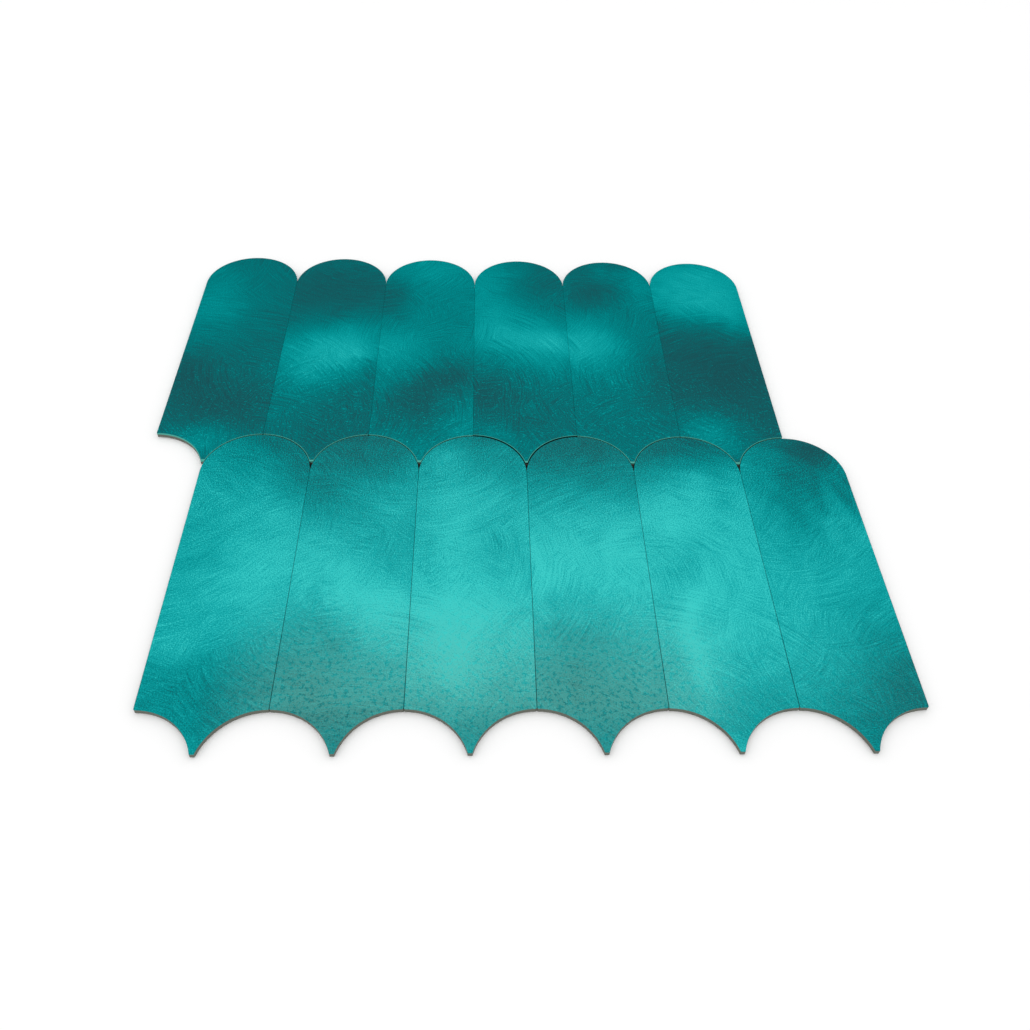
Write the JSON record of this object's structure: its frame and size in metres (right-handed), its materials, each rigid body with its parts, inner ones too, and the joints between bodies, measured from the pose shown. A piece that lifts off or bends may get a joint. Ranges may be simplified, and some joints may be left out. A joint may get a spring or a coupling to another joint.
{
  "type": "self-adhesive mosaic tile",
  "caption": "Self-adhesive mosaic tile: long brushed teal metal chips with round crowns nested into the hollow feet of the next row, on a black adhesive sheet with a release liner.",
  "frame": {"origin": "centre of the sheet's outline, on the underside of the release liner", "axes": "+Z out of the coloured face, away from the wall; -Y towards the side with the tips; +X along the rows"},
  "size_m": [0.3002, 0.2948, 0.0024],
  "materials": {
    "chip_face": "brushed in swirls and lacquered teal, darker cut sides",
    "adhesive": "matte black",
    "liner": "brown siliconised paper"
  },
  "bodies": {
    "root": {"front_chip_1": "chip_face", "front_chip_2": "chip_face", "front_chip_3": "chip_face", "front_chip_4": "chip_face", "front_chip_5": "chip_face", "front_chip_6": "chip_face", "back_chip_1": "chip_face", "back_chip_2": "chip_face", "back_chip_3": "chip_face", "back_chip_4": "chip_face", "back_chip_5": "chip_face", "back_chip_6": "chip_face", "adhesive_sheet": "adhesive", "release_liner": "liner"}
  },
  "joints": []
}
